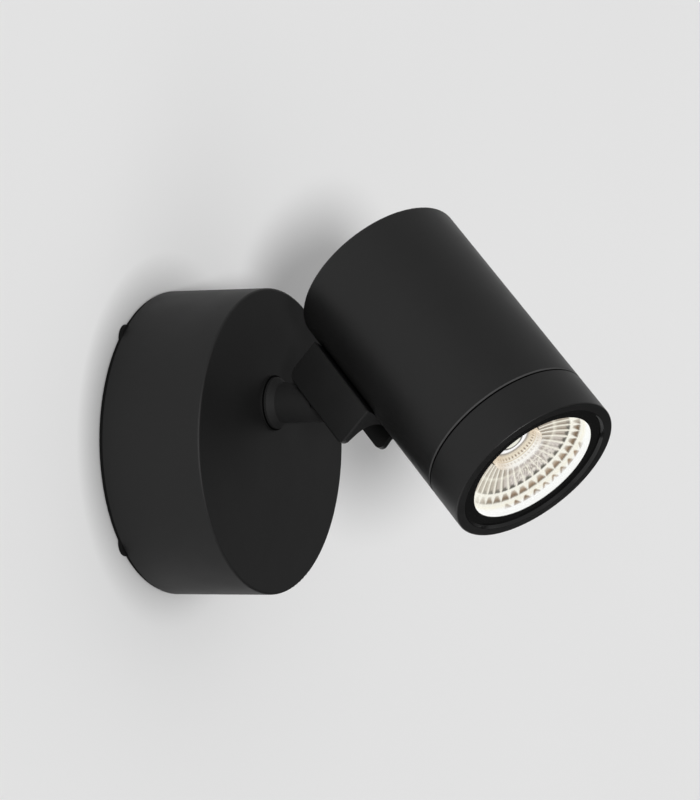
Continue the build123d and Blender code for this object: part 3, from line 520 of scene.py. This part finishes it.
def buildWall(w):
    mat, tree, links = newMaterial("wallWithPaintedShade")
    shader = tree["Principled BSDF"]
    shader.inputs["Roughness"].default_value = w["rough"]
    shader.inputs["Specular IOR Level"].default_value = w["specular"]
    tone = grainOf(tree, links, w["toneScale"])
    # painted shade: occlusion darkens the wall's colour near the drum, more on one side through the leaned normal
    near = tree.new("ShaderNodeAmbientOcclusion")
    near.inputs["Distance"].default_value = w["reach"]
    lean = tree.new("ShaderNodeCombineXYZ")
    for axis, value in zip("XYZ", Vector(w["lean"]).normalized()):
        lean.inputs[axis].default_value = value
    links.new(lean.outputs["Vector"], near.inputs["Normal"])
    dim = tree.new("ShaderNodeMapRange")
    dim.inputs["To Min"].default_value = w["paintedShadeDeepest"]
    links.new(near.outputs["AO"], dim.inputs["Value"])
    paintedContactShade = tree.new("ShaderNodeMix")
    paintedContactShade.data_type = "RGBA"
    paintedContactShade.blend_type = "MULTIPLY"
    paintedContactShade.inputs["Factor"].default_value = 1.0
    links.new(twoTone(tree, links, tone, w["tone"], w["shown"]), paintedContactShade.inputs["A"])
    links.new(dim.outputs["Result"], paintedContactShade.inputs["B"])
    links.new(paintedContactShade.outputs["Result"], shader.inputs["Base Color"])
    side = tree.new("ShaderNodeNewGeometry")
    clear = tree.new("ShaderNodeBsdfTransparent")
    mix = tree.new("ShaderNodeMixShader")
    links.new(side.outputs["Backfacing"], mix.inputs["Fac"])
    links.new(shader.outputs["BSDF"], mix.inputs[1])
    links.new(clear.outputs["BSDF"], mix.inputs[2])
    links.new(mix.outputs["Shader"], tree["Material Output"].inputs["Surface"])
    points, faces, count = [], [], w["corners"]
    for c in range(count):
        angle = 2 * math.pi * c / count
        x, z = math.cos(angle), math.sin(angle)
        far = w["half"] / max(abs(x), abs(z))
        points += [(x * w["hole"], w["gap"], z * w["hole"]), (x * far, w["gap"], z * far)]
        n = (c + 1) % count
        faces.append((2 * c, 2 * c + 1, 2 * n + 1, 2 * n))
    data = bpy.data.meshes.new("plain_wall")
    data.from_pydata(points, [], faces)
    data.materials.append(mat)
    piece = bpy.data.objects.new("plain_wall", data)
    scene.collection.objects.link(piece)


buildWall(wall)
print("wall done")

# one soft lamp close to the camera, and a room that is darker to the right and below
lamps = {"keySoft": {"from": (-1.235, -1.0, -0.112), "spread": 12.0, "level": 2.2}}
sky = {
    "room": (0.51, 0.51, 0.51, 1.0),
    "shade": (0.06, 0.06, 0.06, 1.0),
    "shown": (0.76, 0.76, 0.76, 1.0),
    "darkWay": (0.72, -0.25, -0.65),
    "from": 0.5,
    "to": 0.95,
}


def buildLamps():
    for name, p in lamps.items():
        lamp = bpy.data.lights.new(name, "SUN")
        lamp.angle = math.radians(p["spread"])
        lamp.energy = p["level"]
        holder = bpy.data.objects.new(name, lamp)
        holder.rotation_euler = Vector(p["from"]).to_track_quat("Z", "Y").to_euler()
        scene.collection.objects.link(holder)
        spared = bpy.data.collections.new(name + "Spares")
        spared.objects.link(nodes["front_glass"])
        spared.collection_objects[0].light_linking.link_state = "EXCLUDE"
        holder.light_linking.receiver_collection = spared  # no white glare on the pane


def buildSky(s):
    world = bpy.data.worlds.new("softRoom")
    scene.world = world
    world.use_nodes = True
    tree, links = world.node_tree.nodes, world.node_tree.links
    way = tree.new("ShaderNodeTexCoord")
    dot = tree.new("ShaderNodeVectorMath")
    dot.operation = "DOT_PRODUCT"
    dot.inputs[1].default_value = s["darkWay"]
    links.new(way.outputs["Generated"], dot.inputs[0])
    span = tree.new("ShaderNodeMapRange")
    span.interpolation_type = "SMOOTHSTEP"
    span.inputs["From Min"].default_value = s["from"]
    span.inputs["From Max"].default_value = s["to"]
    links.new(dot.outputs["Value"], span.inputs["Value"])
    room = tree.new("ShaderNodeMix")
    room.data_type = "RGBA"
    room.inputs["A"].default_value = s["room"]
    room.inputs["B"].default_value = s["shade"]
    links.new(span.outputs["Result"], room.inputs["Factor"])
    path = tree.new("ShaderNodeLightPath")
    seen = tree.new("ShaderNodeMix")
    seen.data_type = "RGBA"
    seen.inputs["B"].default_value = s["shown"]
    links.new(path.outputs["Is Camera Ray"], seen.inputs["Factor"])
    links.new(room.outputs["Result"], seen.inputs["A"])
    links.new(seen.outputs["Result"], tree["Background"].inputs["Color"])


buildLamps()
buildSky(sky)
print("lamps done")

# camera
camera = {"at": (-1.22568, -0.68759, -0.03593), "azimuth": -63.296, "elevation": -2.098, "lens": 173.91,
          "sensor": 36.0, "clip": 0.05}


def buildCamera(c):
    data = bpy.data.cameras.new("shot")
    data.sensor_width = c["sensor"]
    data.lens = c["lens"]
    data.clip_start = c["clip"]
    holder = bpy.data.objects.new("shot", data)
    holder.location = c["at"]
    holder.rotation_euler = (math.radians(90.0 - c["elevation"]), 0.0, math.radians(c["azimuth"]))
    scene.collection.objects.link(holder)
    scene.camera = holder


buildCamera(camera)
scene.view_settings.view_transform = "Standard"
print("camera done")
